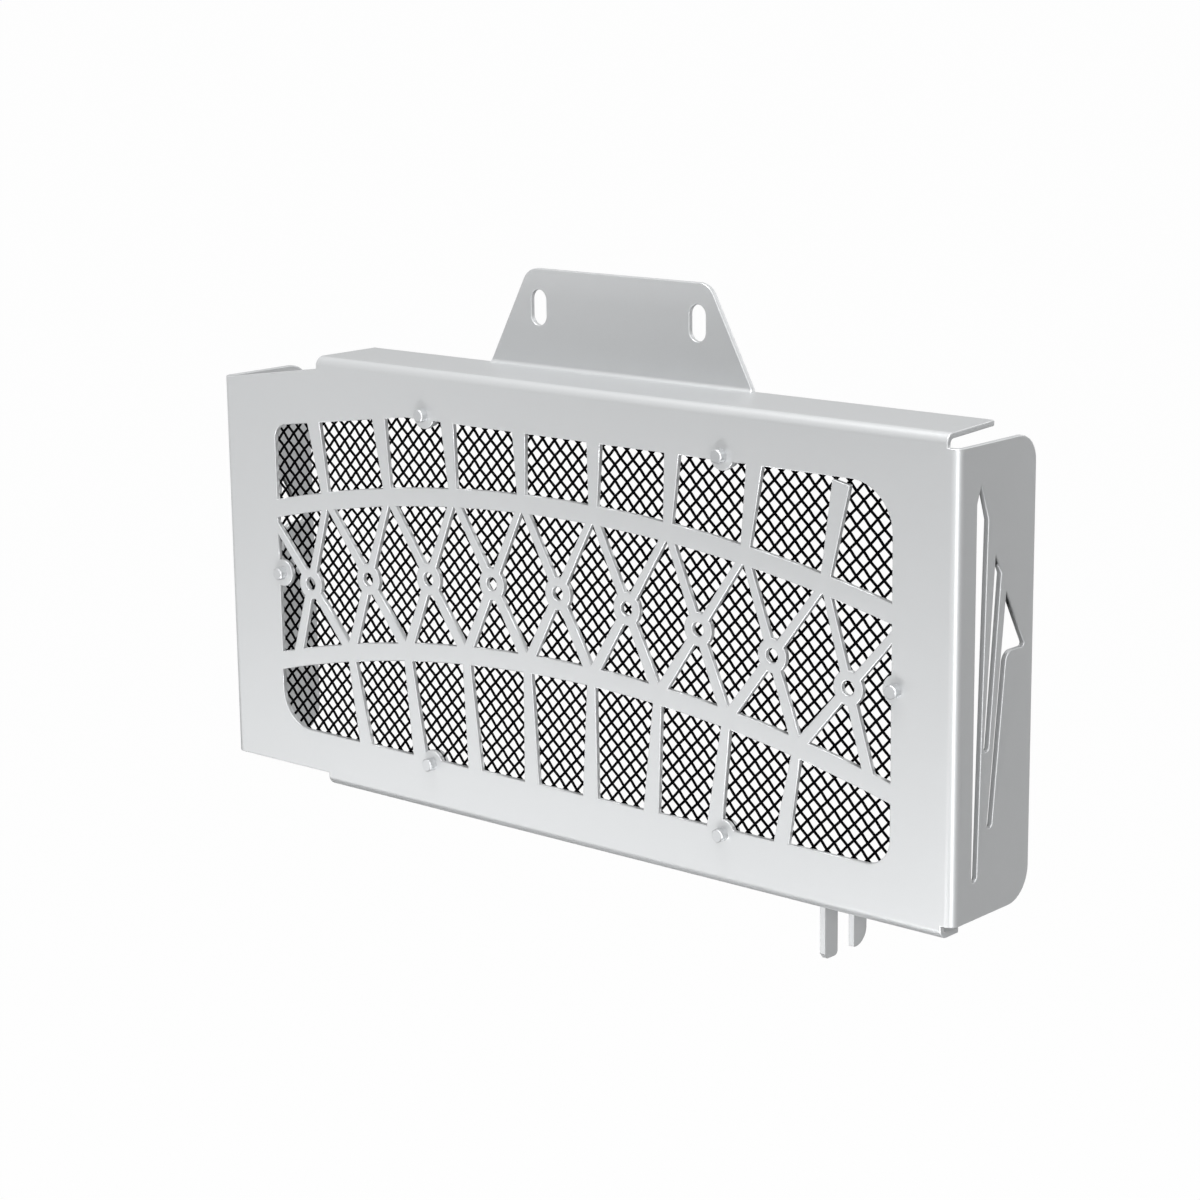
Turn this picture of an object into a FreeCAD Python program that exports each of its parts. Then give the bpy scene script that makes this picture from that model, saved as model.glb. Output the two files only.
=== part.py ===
import FreeCAD, Part
import math
import os

import Sketcher

# Motorcycle radiator guard: one folded steel sheet with a cut-out front, a wire screen held behind
# it by six headed pins and washers, a hanging tab with two slots, and two prongs under the lower lip.
# X runs to the right, Y to the rear and Z up. The origin lies on the rear face of the tab, midway
# between its two slots. Each body is drawn with Y from the front face and Z from the underside of the
# lower lip, and its Placement carries it to that origin.

doc = FreeCAD.newDocument("radiator_guard")

# Driving dimensions, in millimetres and degrees
SIZES = (
    ("panel_width", 330.0),
    ("panel_height", 160.0),
    ("sheet_thick", 2.0),
    ("bend_inside", 1.5),
    ("side_depth", 42.0),
    ("side_inset", 4.5),
    ("side_top_round", 9.0),
    ("side_foot_round", 11.0),
    ("left_drop", 6.8),
    ("flange_left", -114.5),
    ("flange_right", 160.5),
    ("top_depth", 30.0),
    ("top_end_taper", 3.2),
    ("lip_depth", 10.0),
    ("tab_center", 4.9),
    ("tab_base", 118.0),
    ("tab_crest", 81.0),
    ("tab_rise", 34.5),
    ("tab_round", 7.0),
    ("tab_slot_pitch", 71.2),
    ("tab_slot_width", 7.0),
    ("tab_slot_length", 12.4),
    ("tab_slot_rise", 21.0),
    ("window_left", -137.6),
    ("window_right", 140.6),
    ("window_low", 19.4),
    ("window_high", 142.2),
    ("window_slant_end", -70.0),
    ("window_slant_drop", 9.6),
    ("round_low_left", 13.5),
    ("round_low_right", 9.5),
    ("round_high_right", 16.0),
    ("round_high_left", 6.0),
    ("rail_radius", 600.0),
    ("rail_crown", 118.0),
    ("rail_gap", 56.0),
    ("rail_width", 6.6),
    ("rail_overlap", 8.0),
    ("cell_count", 9),
    ("cell_angle", 3.1),
    ("bar_thick_low", 4.8),
    ("bar_thick_high", 3.2),
    ("boss_radius", 5.8),
    ("boss_eye", 2.4),
    ("strut_up", 34.0),
    ("strut_down", 46.0),
    ("strut_waist", 3.6),
    ("strut_foot", 7.0),
    ("slot_foot", 2.8),
    ("slot_round_share", 0.45),
    ("slot_one_low", 17.0),
    ("slot_one_high", 143.2),
    ("slot_one_front", 10.1),
    ("slot_one_tip", 12.3),
    ("slot_one_back", 16.3),
    ("slot_one_drop", 11.6),
    ("slot_one_nose", 5.9),
    ("slot_two_low", 58.0),
    ("slot_two_high", 119.4),
    ("slot_two_front", 15.6),
    ("slot_two_tip", 20.6),
    ("slot_two_back", 23.8),
    ("slot_two_drop", 5.7),
    ("slot_three_low", 32.8),
    ("slot_three_high", 107.0),
    ("slot_three_front", 18.0),
    ("slot_three_tip", 26.8),
    ("slot_three_waist", 27.3),
    ("slot_three_drop", 18.8),
    ("fin_margin", 4.2),
    ("fin_round", 4.0),
    ("fin_nose", 0.9),
    ("pin_high", 144.0),
    ("pin_low", 17.6),
    ("pin_mid", 77.5),
    ("pin_left", -60.5),
    ("pin_right", 73.2),
    ("pin_far_left", -135.8),
    ("pin_far_right", 142.3),
    ("pin_face", 4.6),
    ("pin_stand", 3.0),
    ("pin_shank", 3.2),
    ("pin_tail", 5.2),
    ("pin_tail_thick", 1.2),
    ("pin_bevel", 0.35),
    ("pin_clear", 0.1),
    ("lobe_radius", 5.0),
    ("washer_round", 9.0),
    ("washer_thick", 1.0),
    ("screen_margin", 9.5),
    ("screen_top", 148.0),
    ("screen_wall", 1.0),
    ("screen_ridge", 0.7),
    ("screen_ridge_width", 1.0),
    ("ridge_gap", 1.8),
    ("mesh_pitch", 22.8),
    ("mesh_columns", 12),
    ("mesh_rows", 5),
    ("mesh_web", 1.8),
    ("prong_thick", 2.1),
    ("prong_front", 3.2),
    ("prong_long_x", 111.2),
    ("prong_long_drop", 17.8),
    ("prong_short_x", 122.7),
    ("prong_short_drop", 11.0),
    ("prong_tip_round", 1.6),
    ("prong_tip_chamfer", 1.4),
    ("prong_tip_rise", 1.8),
    ("prong_heel_share", 0.82),
    ("prong_toe_share", 0.1),
    ("cut_margin", 2.0),
)

sheet = doc.addObject("Spreadsheet::Sheet", "Sizes")
for row, (name, value) in enumerate(SIZES, start=1):
    sheet.set("A%d" % row, name)
    sheet.set("B%d" % row, str(value))
    sheet.setAlias("B%d" % row, name)
doc.recompute()

# Places that follow from the driving dimensions
PLACES = (
    ("zero", "0"),
    ("bend_outside", "Sizes.bend_inside + Sizes.sheet_thick"),
    ("half_width", "Sizes.panel_width / 2"),
    ("left_face", "-Sizes.panel_width / 2"),
    ("half_inside", "Sizes.panel_width / 2 - Sizes.sheet_thick"),
    ("left_inside", "Sizes.sheet_thick - Sizes.panel_width / 2"),
    ("top_inside", "Sizes.panel_height - Sizes.sheet_thick"),
    ("side_top", "Sizes.panel_height - Sizes.side_inset"),
    ("side_span", "Sizes.panel_height - 2 * Sizes.side_inset"),
    ("left_top", "Sizes.panel_height - Sizes.side_inset - Sizes.left_drop"),
    ("flange_span", "Sizes.flange_right - Sizes.flange_left"),
    ("slant_start", "bend_outside - Sizes.panel_width / 2"),
    ("past_left", "-Sizes.panel_width / 2 - Sizes.cut_margin"),
    ("past_top", "Sizes.panel_height - bend_outside"),
    ("taper_start", "Sizes.flange_right - Sizes.top_end_taper"),
    ("past_flange", "Sizes.flange_right + Sizes.cut_margin"),
    ("past_depth", "Sizes.top_depth + Sizes.cut_margin"),
    ("fold_line", "Sizes.top_depth - bend_outside"),
    ("fold_root", "Sizes.top_depth - 2 * bend_outside"),
    ("tab_left", "Sizes.tab_center - Sizes.tab_base / 2"),
    ("tab_right", "Sizes.tab_center + Sizes.tab_base / 2"),
    ("crest_left", "Sizes.tab_center - Sizes.tab_crest / 2"),
    ("crest_right", "Sizes.tab_center + Sizes.tab_crest / 2"),
    ("past_tab_left", "tab_left - Sizes.cut_margin"),
    ("past_tab_right", "tab_right + Sizes.cut_margin"),
    ("tab_top", "Sizes.panel_height + Sizes.tab_rise"),
    ("past_tab", "tab_top + Sizes.cut_margin"),
    ("tab_front", "Sizes.top_depth - Sizes.sheet_thick"),
    ("slot_left", "Sizes.tab_center - Sizes.tab_slot_pitch / 2"),
    ("slot_right", "Sizes.tab_center + Sizes.tab_slot_pitch / 2"),
    ("slot_radius", "Sizes.tab_slot_width / 2"),
    ("slot_middle", "Sizes.panel_height + Sizes.tab_slot_rise"),
    ("slot_reach", "(Sizes.tab_slot_length - Sizes.tab_slot_width) / 2"),
    ("slot_upper", "slot_middle + slot_reach"),
    ("slot_lower", "slot_middle - slot_reach"),
    ("slant_low", "Sizes.window_high - Sizes.window_slant_drop"),
    ("window_middle", "(Sizes.window_left + Sizes.window_right) / 2"),
    ("rail_hub", "Sizes.rail_crown - Sizes.rail_radius"),
    ("window_middle_up", "(Sizes.window_low + Sizes.window_high) / 2"),
    ("rail_reach", "(Sizes.window_right - Sizes.window_left) / 2 + Sizes.rail_overlap"),
    ("rail_reach_left", "-rail_reach"),
    ("upper_outer", "Sizes.rail_radius + Sizes.rail_width / 2"),
    ("upper_inner", "Sizes.rail_radius - Sizes.rail_width / 2"),
    ("lower_radius", "Sizes.rail_radius - Sizes.rail_gap"),
    ("lower_outer", "lower_radius + Sizes.rail_width / 2"),
    ("lower_inner", "lower_radius - Sizes.rail_width / 2"),
    ("upper_half", "Sizes.rail_radius * sin(Sizes.cell_angle / 2 * 1 deg)"),
    ("lower_half", "lower_radius * sin(Sizes.cell_angle / 2 * 1 deg)"),
    ("rise_low_a", "-lower_half - Sizes.bar_thick_low / 2"),
    ("rise_low_b", "-lower_half + Sizes.bar_thick_low / 2"),
    ("rise_high_a", "upper_half - Sizes.bar_thick_high / 2"),
    ("rise_high_b", "upper_half + Sizes.bar_thick_high / 2"),
    ("fall_low_a", "lower_half - Sizes.bar_thick_low / 2"),
    ("fall_low_b", "lower_half + Sizes.bar_thick_low / 2"),
    ("fall_high_a", "-upper_half - Sizes.bar_thick_high / 2"),
    ("fall_high_b", "-upper_half + Sizes.bar_thick_high / 2"),
    ("half_sum", "upper_half + lower_half"),
    ("cross_radius", "(lower_radius * upper_half + Sizes.rail_radius * lower_half) / half_sum"),
    ("waist_a", "-Sizes.strut_waist / 2"),
    ("waist_b", "Sizes.strut_waist / 2"),
    ("foot_a", "-Sizes.strut_foot / 2"),
    ("foot_b", "Sizes.strut_foot / 2"),
    ("strut_high", "Sizes.rail_radius + Sizes.strut_up"),
    ("strut_low", "lower_radius - Sizes.strut_down"),
    ("cell_first", "Sizes.cell_angle * (Sizes.cell_count - 1) / 2"),
    ("cell_sweep", "Sizes.cell_angle * (Sizes.cell_count - 1)"),
    ("strut_count", "Sizes.cell_count - 1"),
    ("strut_first", "Sizes.cell_angle * (Sizes.cell_count - 2) / 2"),
    ("strut_sweep", "Sizes.cell_angle * (Sizes.cell_count - 2)"),
    ("slot_foot_round", "Sizes.slot_foot * Sizes.slot_round_share"),
    ("slot_one_foot", "Sizes.slot_one_front + Sizes.slot_foot"),
    ("slot_one_shoulder", "Sizes.slot_one_high - Sizes.slot_one_drop"),
    ("slot_one_knee", "Sizes.slot_one_high - Sizes.slot_one_nose"),
    ("slot_two_foot", "Sizes.slot_two_front + Sizes.slot_foot"),
    ("slot_two_shoulder", "Sizes.slot_two_high - Sizes.slot_two_drop"),
    ("slot_three_foot", "Sizes.slot_three_front + Sizes.slot_foot"),
    ("fin_low", "Sizes.slot_three_high - Sizes.slot_three_drop"),
    ("fin_tip", "Sizes.side_depth - Sizes.fin_margin"),
    ("hole_radius", "Sizes.pin_shank / 2 + Sizes.pin_clear"),
    ("screen_left", "Sizes.window_left - Sizes.screen_margin"),
    ("screen_right", "Sizes.window_right + Sizes.screen_margin"),
    ("screen_low", "Sizes.window_low - Sizes.screen_margin"),
    ("screen_slant", "Sizes.screen_top - Sizes.window_slant_drop"),
    ("screen_back", "Sizes.sheet_thick + Sizes.screen_wall"),
    ("half_gap", "Sizes.mesh_pitch / 2 - Sizes.mesh_web / 2"),
    ("half_gap_left", "-half_gap"),
    ("mesh_first_x", "window_middle - Sizes.mesh_pitch * (Sizes.mesh_columns - 1) / 2"),
    ("mesh_first_z", "window_middle_up - Sizes.mesh_pitch * (Sizes.mesh_rows - 1) / 2"),
    ("mesh_run_x", "Sizes.mesh_pitch * (Sizes.mesh_columns - 1)"),
    ("mesh_run_z", "Sizes.mesh_pitch * (Sizes.mesh_rows - 1)"),
    ("mesh_inner_x", "mesh_first_x + Sizes.mesh_pitch / 2"),
    ("mesh_inner_z", "mesh_first_z + Sizes.mesh_pitch / 2"),
    ("mesh_inner_columns", "Sizes.mesh_columns - 1"),
    ("mesh_inner_rows", "Sizes.mesh_rows - 1"),
    ("mesh_inner_run_x", "Sizes.mesh_pitch * (Sizes.mesh_columns - 2)"),
    ("mesh_inner_run_z", "Sizes.mesh_pitch * (Sizes.mesh_rows - 2)"),
    ("sheet_lift", "-Sizes.sheet_thick"),
    ("ridge_lift", "-screen_back"),
    ("ridge_end", "Sizes.mesh_pitch / 2 - Sizes.ridge_gap"),
    ("ridge_tall", "Sizes.screen_ridge_width / sqrt(2)"),
    ("ridge_foot_a", "Sizes.ridge_gap - ridge_tall"),
    ("ridge_foot_b", "Sizes.ridge_gap + ridge_tall"),
    ("ridge_head_a", "ridge_end - ridge_tall"),
    ("ridge_head_b", "ridge_end + ridge_tall"),
    ("ridge_foot_c", "-Sizes.ridge_gap - ridge_tall"),
    ("ridge_foot_d", "-Sizes.ridge_gap + ridge_tall"),
    ("ridge_head_c", "-ridge_end - ridge_tall"),
    ("ridge_head_d", "-ridge_end + ridge_tall"),
    ("washer_start", "screen_back"),
    ("washer_back", "screen_back + Sizes.washer_thick"),
    ("tail_back", "screen_back + Sizes.washer_thick + Sizes.pin_tail_thick"),
    ("tail_shoulder", "screen_back + Sizes.washer_thick + Sizes.pin_tail_thick - Sizes.pin_bevel"),
    ("face_front", "-Sizes.pin_stand"),
    ("face_shoulder", "Sizes.pin_bevel - Sizes.pin_stand"),
    ("face_radius", "Sizes.pin_face / 2"),
    ("face_flat", "Sizes.pin_face / 2 - Sizes.pin_bevel"),
    ("shank_radius", "Sizes.pin_shank / 2"),
    ("tail_radius", "Sizes.pin_tail / 2"),
    ("tail_flat", "Sizes.pin_tail / 2 - Sizes.pin_bevel"),
    ("washer_radius", "Sizes.washer_round / 2"),
    ("shift_x", "-Sizes.tab_center"),
    ("shift_y", "-Sizes.top_depth"),
    ("shift_z", "-Sizes.panel_height - Sizes.tab_slot_rise"),
    ("prong_rear", "Sizes.lip_depth"),
    ("prong_chamfer", "Sizes.prong_front + Sizes.prong_tip_chamfer"),
    ("prong_long_low", "-Sizes.prong_long_drop"),
    ("prong_long_break", "Sizes.prong_tip_rise - Sizes.prong_long_drop"),
    ("prong_short_low", "-Sizes.prong_short_drop"),
    ("prong_deep", "Sizes.lip_depth - Sizes.prong_front"),
    ("prong_heel", "prong_deep * Sizes.prong_heel_share"),
    ("prong_toe", "prong_deep * Sizes.prong_toe_share"),
)

layout = doc.addObject("App::VarSet", "Places")
for name, formula in PLACES:
    layout.addProperty("App::PropertyFloat", name, "Places")
for name, formula in PLACES:
    layout.setExpression(name, formula)
doc.recompute()

SIZE_NAMES = {name for name, value in SIZES}


def where(name):
    """Expression that names a driving dimension or a place."""
    return ("Sizes." if name in SIZE_NAMES else "Places.") + name


def read(name):
    """Number behind a driving dimension or a place."""
    return float(sheet.get(name)) if name in SIZE_NAMES else float(getattr(layout, name))


def bind(item, field, name):
    item.setExpression(field, where(name))


def attach(body, label, role, east="zero", north="zero", lift="zero", turn=None):
    """Sketch on an origin plane, shifted in the plane by east and north and along its normal by lift."""
    sketch = body.newObject("Sketcher::SketchObject", label)
    plane = [item for item in body.Origin.OriginFeatures if item.Role == role][0]
    sketch.AttachmentSupport = [(plane, "")]
    sketch.MapMode = "FlatFace"
    turned = FreeCAD.Rotation(FreeCAD.Vector(0, 0, 1), read(turn) if turn else 0.0)
    sketch.AttachmentOffset = FreeCAD.Placement(FreeCAD.Vector(read(east), read(north), read(lift)), turned)
    bind(sketch, "AttachmentOffset.Base.x", east)
    bind(sketch, "AttachmentOffset.Base.y", north)
    bind(sketch, "AttachmentOffset.Base.z", lift)
    if turn:
        bind(sketch, "AttachmentOffset.Rotation.Angle", turn)
    return sketch


def dimension(sketch, kind, name, *references):
    """Dimension in a sketch, bound to a named size or place."""
    index = sketch.addConstraint(Sketcher.Constraint(kind, *references, read(name)))
    bind(sketch, "Constraints[%d]" % index, name)


def pin_point(sketch, item, spot, across, up):
    dimension(sketch, "DistanceX", across, -1, 1, item, spot)
    dimension(sketch, "DistanceY", up, -1, 1, item, spot)


def arc_between(center, size, first, last):
    """Counter-clockwise arc about a centre from one point to another."""
    start = math.atan2(first.y - center.y, first.x - center.x)
    finish = math.atan2(last.y - center.y, last.x - center.x)
    if finish < start:
        finish += 2 * math.pi
    return Part.ArcOfCircle(Part.Circle(center, FreeCAD.Vector(0, 0, 1), size), start, finish)


def outline(sketch, corners):
    """Closed outline through named corners (across, up, radius), rounded where a radius is named."""
    spots = [FreeCAD.Vector(read(across), read(up), 0) for across, up, radius in corners]
    count = len(corners)
    entries, exits, arcs = [], [], []
    for index, (across, up, radius) in enumerate(corners):
        here = spots[index]
        if radius is None:
            entries.append(here)
            exits.append(here)
            arcs.append(None)
            continue
        back = (spots[index - 1] - here).normalize()
        ahead = (spots[(index + 1) % count] - here).normalize()
        half = math.acos(max(-1.0, min(1.0, back.dot(ahead)))) / 2
        size = read(radius)
        entry = here + back * (size / math.tan(half))
        leave = here + ahead * (size / math.tan(half))
        center = here + (back + ahead).normalize() * (size / math.sin(half))
        leftward = back.cross(ahead).z < 0
        entries.append(entry)
        exits.append(leave)
        ends = (entry, leave) if leftward else (leave, entry)
        arcs.append((arc_between(center, size, *ends), (1, 2) if leftward else (2, 1)))
    lines = []
    for index in range(count):
        side = Part.LineSegment(exits[index], entries[(index + 1) % count])
        lines.append(sketch.addGeometry(side, False))
    for index, (across, up, radius) in enumerate(corners):
        before = lines[index - 1]
        after = lines[index]
        if radius is None:
            sketch.addConstraint(Sketcher.Constraint("Coincident", before, 2, after, 1))
            pin_point(sketch, after, 1, across, up)
            continue
        shape, (start, finish) = arcs[index]
        arc = sketch.addGeometry(shape, False)
        sketch.addConstraint(Sketcher.Constraint("Tangent", before, 2, arc, start))
        sketch.addConstraint(Sketcher.Constraint("Tangent", after, 1, arc, finish))
        dimension(sketch, "Radius", radius, arc)
        corner = sketch.addGeometry(Part.Point(spots[index]), True)
        sketch.addConstraint(Sketcher.Constraint("PointOnObject", corner, 1, before))
        sketch.addConstraint(Sketcher.Constraint("PointOnObject", corner, 1, after))
        pin_point(sketch, corner, 1, across, up)


def disc(sketch, across, up, radius):
    center = FreeCAD.Vector(read(across), read(up), 0)
    circle = sketch.addGeometry(Part.Circle(center, FreeCAD.Vector(0, 0, 1), read(radius)), False)
    pin_point(sketch, circle, 3, across, up)
    dimension(sketch, "Radius", radius, circle)


def slot(sketch, across, low, high, radius):
    """Upright slot with round ends, from its two end centres and its end radius."""
    size = read(radius)
    foot = FreeCAD.Vector(read(across), read(low), 0)
    head = FreeCAD.Vector(read(across), read(high), 0)
    side = FreeCAD.Vector(size, 0, 0)
    top = sketch.addGeometry(arc_between(head, size, head + side, head - side), False)
    left = sketch.addGeometry(Part.LineSegment(head - side, foot - side), False)
    bottom = sketch.addGeometry(arc_between(foot, size, foot - side, foot + side), False)
    right = sketch.addGeometry(Part.LineSegment(foot + side, head + side), False)
    for first, second in ((top, left), (left, bottom), (bottom, right), (right, top)):
        sketch.addConstraint(Sketcher.Constraint("Tangent", first, 2, second, 1))
    pin_point(sketch, top, 3, across, high)
    pin_point(sketch, bottom, 3, across, low)
    dimension(sketch, "Radius", radius, top)
    dimension(sketch, "Radius", radius, bottom)


def rail(sketch, outer, inner, reach_left, reach_right):
    """Arched band about the sketch origin, cut off upright at both ends."""
    east, west = read(reach_right), read(reach_left)
    arcs = []
    for name in (outer, inner):
        size = read(name)
        first = math.acos(east / size)
        last = math.acos(west / size)
        circle = Part.Circle(FreeCAD.Vector(0, 0, 0), FreeCAD.Vector(0, 0, 1), size)
        arcs.append(sketch.addGeometry(Part.ArcOfCircle(circle, first, last), False))
    ends = []
    for spot in (1, 2):
        points = []
        for arc in arcs:
            shape = sketch.Geometry[arc]
            points.append(shape.StartPoint if spot == 1 else shape.EndPoint)
        ends.append(sketch.addGeometry(Part.LineSegment(points[0], points[1]), False))
    for arc, name in zip(arcs, (outer, inner)):
        sketch.addConstraint(Sketcher.Constraint("Coincident", arc, 3, -1, 1))
        dimension(sketch, "Radius", name, arc)
    for spot, line, name in ((1, ends[0], reach_right), (2, ends[1], reach_left)):
        sketch.addConstraint(Sketcher.Constraint("Coincident", line, 1, arcs[0], spot))
        sketch.addConstraint(Sketcher.Constraint("Coincident", line, 2, arcs[1], spot))
        sketch.addConstraint(Sketcher.Constraint("Vertical", line))
        dimension(sketch, "DistanceX", name, -1, 1, line, 1)


def pad(body, sketch, length, backwards=False):
    feature = body.newObject("PartDesign::Pad", sketch.Label + "_pad")
    feature.Profile = sketch
    feature.Length = read(length)
    bind(feature, "Length", length)
    feature.Reversed = backwards
    feature.Refine = body.Label != "mesh_screen"
    doc.recompute()
    return feature


def pocket(body, sketch, length=None, backwards=False, both_ways=False):
    """Cut that must take some material away."""
    before = body.Tip.Shape.Volume
    feature = body.newObject("PartDesign::Pocket", sketch.Label + "_cut")
    feature.Profile = sketch
    feature.Refine = body.Label != "mesh_screen"
    feature.Reversed = backwards
    if both_ways:
        feature.SideType = "Symmetric"
    if length is None:
        feature.Type = "ThroughAll"
    else:
        feature.Length = read(length)
        bind(feature, "Length", length)
    doc.recompute()
    if not feature.Shape.Volume < before - 1e-6:
        raise RuntimeError("the cut %s takes nothing away" % feature.Label)
    return feature


def turn_pattern(body, feature, sketch, sweep, count):
    pattern = body.newObject("PartDesign::PolarPattern", feature.Label + "_row")
    pattern.Originals = [feature]
    pattern.Axis = (sketch, ["N_Axis"])
    pattern.Reversed = True
    pattern.Angle = read(sweep)
    bind(pattern, "Angle", sweep)
    pattern.Occurrences = int(round(read(count)))
    bind(pattern, "Occurrences", count)
    body.Tip = pattern
    doc.recompute()
    return pattern


def grid_pattern(body, features, sketch, run_x, count_x, run_z, count_z):
    pattern = body.newObject("PartDesign::LinearPattern", features[0].Label + "_grid")
    pattern.Originals = features
    pattern.Refine = False
    pattern.Direction = (sketch, ["H_Axis"])
    pattern.Direction2 = (sketch, ["V_Axis"])
    for field, name in (("Length", run_x), ("Length2", run_z)):
        setattr(pattern, field, read(name))
        bind(pattern, field, name)
    for field, name in (("Occurrences", count_x), ("Occurrences2", count_z)):
        setattr(pattern, field, int(round(read(name))))
        bind(pattern, field, name)
    body.Tip = pattern
    doc.recompute()
    return pattern


def round_edges(body, radius, places):
    """Fillet on the edges whose middle lies at one of the places; None matches any coordinate."""
    chosen = []
    for number, edge in enumerate(body.Tip.Shape.Edges, start=1):
        spot = edge.CenterOfMass
        for place in places:
            near = [wanted is None or abs(spot[axis] - wanted) < 1e-3 for axis, wanted in enumerate(place)]
            if all(near) and edge.Length < 2 * read("sheet_thick"):
                chosen.append("Edge%d" % number)
    if len(chosen) != len(places):
        raise RuntimeError("found %d edges for %d places" % (len(chosen), len(places)))
    base = body.Tip
    feature = body.newObject("PartDesign::Fillet", "corner_round")
    feature.Base = (base, chosen)
    feature.Radius = read(radius)
    bind(feature, "Radius", radius)
    body.Tip = feature
    doc.recompute()
    return feature


def new_body(label, across="zero", deep="zero", up="zero"):
    """Body drawn about a named spot of the guard and carried to the guard's origin."""
    body = doc.addObject("PartDesign::Body", label)
    body.Label = label
    steps = (("x", across), ("y", deep), ("z", up))
    spot = [read("shift_" + axis) + read(name) for axis, name in steps]
    body.Placement = FreeCAD.Placement(FreeCAD.Vector(*spot), FreeCAD.Rotation())
    for axis, name in steps:
        body.setExpression("Placement.Base." + axis, "Places.shift_%s + %s" % (axis, where(name)))
    return body


# Folded panel: a channel for the top flange and lower lip, and a tray for the two side flanges
panel = new_body("guard_panel")
sketch = attach(panel, "channel", "YZ_Plane", lift="flange_left")
outline(sketch, (
    ("lip_depth", "zero", None), ("zero", "zero", "bend_outside"),
    ("zero", "panel_height", "bend_outside"), ("top_depth", "panel_height", None),
    ("top_depth", "top_inside", None), ("sheet_thick", "top_inside", "bend_inside"),
    ("sheet_thick", "sheet_thick", "bend_inside"), ("lip_depth", "sheet_thick", None)))
pad(panel, sketch, "flange_span")

sketch = attach(panel, "tray", "XY_Plane", lift="side_inset")
outline(sketch, (
    ("left_face", "side_depth", None), ("left_face", "zero", "bend_outside"),
    ("half_width", "zero", "bend_outside"), ("half_width", "side_depth", None),
    ("half_inside", "side_depth", None), ("half_inside", "sheet_thick", "bend_inside"),
    ("left_inside", "sheet_thick", "bend_inside"), ("left_inside", "side_depth", None)))
pad(panel, sketch, "side_span")

# Slanted top left corner, which also lowers the left flange
sketch = attach(panel, "slant", "XZ_Plane")
outline(sketch, (
    ("past_left", "left_top", None), ("slant_start", "left_top", None),
    ("flange_left", "side_top", None), ("flange_left", "past_top", None),
    ("past_left", "past_top", None)))
pocket(panel, sketch)

# Round rear corners of the side flanges
deep = read("side_depth")
thin = read("sheet_thick") / 2
left = read("left_face") + thin
right = read("half_width") - thin
foot = read("side_inset")
round_edges(panel, "side_foot_round", ((left, deep, foot), (right, deep, foot)))
round_edges(panel, "side_top_round", ((left, deep, read("left_top")), (right, deep, read("side_top"))))

# Tapered right end of the top flange
sketch = attach(panel, "taper", "XY_Plane", lift="panel_height")
outline(sketch, (
    ("flange_right", "bend_outside", None), ("taper_start", "top_depth", None),
    ("past_flange", "top_depth", None), ("past_flange", "bend_outside", None)))
pocket(panel, sketch, "bend_outside")

# Hanging tab, folded up from the rear edge of the top flange
sketch = attach(panel, "tab_notch", "XY_Plane", lift="panel_height")
outline(sketch, (
    ("tab_left", "fold_line", None), ("tab_right", "fold_line", None),
    ("tab_right", "past_depth", None), ("tab_left", "past_depth", None)))
pocket(panel, sketch, "bend_outside")

sketch = attach(panel, "tab_fold", "YZ_Plane", lift="tab_left")
outline(sketch, (
    ("fold_root", "top_inside", None), ("top_depth", "top_inside", "bend_outside"),
    ("top_depth", "tab_top", None), ("tab_front", "tab_top", None),
    ("tab_front", "panel_height", "bend_inside"), ("fold_root", "panel_height", None)))
pad(panel, sketch, "tab_base")

for side, base, crest in (("past_tab_left", "tab_left", "crest_left"),
                          ("past_tab_right", "tab_right", "crest_right")):
    sketch = attach(panel, "tab_side", "XZ_Plane")
    outline(sketch, (
        (side, "panel_height", None), (base, "panel_height", None), (crest, "tab_top", None),
        (crest, "past_tab", None), (side, "past_tab", None)))
    pocket(panel, sketch)

crest = read("tab_front") + thin
round_edges(panel, "tab_round", (
    (read("crest_left"), crest, read("tab_top")), (read("crest_right"), crest, read("tab_top"))))

sketch = attach(panel, "tab_slots", "XZ_Plane")
for across in ("slot_left", "slot_right"):
    slot(sketch, across, "slot_lower", "slot_upper", "slot_radius")
pocket(panel, sketch)

# Window in the front, with a lobe for each pin
sketch = attach(panel, "window", "XZ_Plane")
outline(sketch, (
    ("window_left", "window_low", "round_low_left"), ("window_right", "window_low", "round_low_right"),
    ("window_right", "window_high", "round_high_right"), ("window_slant_end", "window_high", None),
    ("window_left", "slant_low", "round_high_left")))
pocket(panel, sketch, "sheet_thick")

PINS = (
    ("high_left", "pin_left", "pin_high"), ("high_right", "pin_right", "pin_high"),
    ("mid_left", "pin_far_left", "pin_mid"), ("mid_right", "pin_far_right", "pin_mid"),
    ("low_left", "pin_left", "pin_low"), ("low_right", "pin_right", "pin_low"),
)
sketch = attach(panel, "lobes", "XZ_Plane")
for name, across, up in PINS:
    disc(sketch, across, up, "lobe_radius")
pad(panel, sketch, "sheet_thick", backwards=True)

# Fretwork: two arched rails, crossed bars with ring bosses between them, and struts to the window's edges
fretwork = doc.addObject("PartDesign::Body", "fretwork")
for outer, inner in (("upper_outer", "upper_inner"), ("lower_outer", "lower_inner")):
    sketch = attach(fretwork, "rail", "XZ_Plane", east="window_middle", north="rail_hub")
    rail(sketch, outer, inner, "rail_reach_left", "rail_reach")
    pad(fretwork, sketch, "sheet_thick", backwards=True)

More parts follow.
